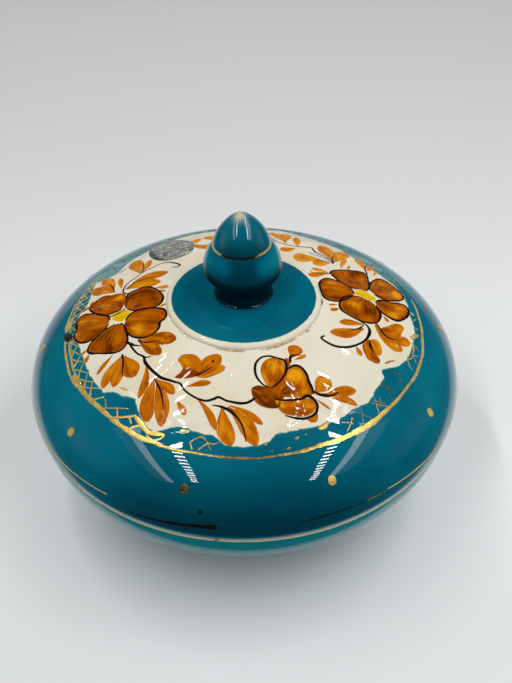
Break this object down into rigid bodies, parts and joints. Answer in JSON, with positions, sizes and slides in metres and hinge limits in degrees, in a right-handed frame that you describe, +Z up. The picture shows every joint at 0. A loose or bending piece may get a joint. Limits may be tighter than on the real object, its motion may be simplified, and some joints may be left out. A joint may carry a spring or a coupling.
{
  "type": "lidded candy box",
  "caption": "Round glazed candy box: a shallow bowl on a foot ring and a domed lift-off lid with a turned knob and a locating flange.",
  "frame": {"origin": "centre of the surface that the foot ring stands on", "axes": "+Z up, along the axis of the bowl, the lid and the knob; -Y is the side that the picture shows nearest"},
  "size_m": [0.18, 0.18, 0.1241],
  "materials": {
    "bowl_glaze": "gloss teal glaze outside, cream glaze inside, worn gilt line at the rim, bare foot ring",
    "lid_glaze": "gloss cream glaze with hand-painted orange blossoms, teal glaze round the shoulder and on the disc, worn gilding",
    "knob_glaze": "gloss teal glaze, worn gilt line in the crease",
    "foil": "worn dull silver foil"
  },
  "bodies": {
    "bowl": {"bowl": "bowl_glaze"},
    "lid": {"lid": "lid_glaze", "knob": "knob_glaze", "foil_label": "foil"}
  },
  "joints": [
    {"name": "lid_lift", "type": "slide", "parent": "bowl", "child": "lid", "axis": [0, 0, 1], "range_m": [0, 0.1]}
  ]
}
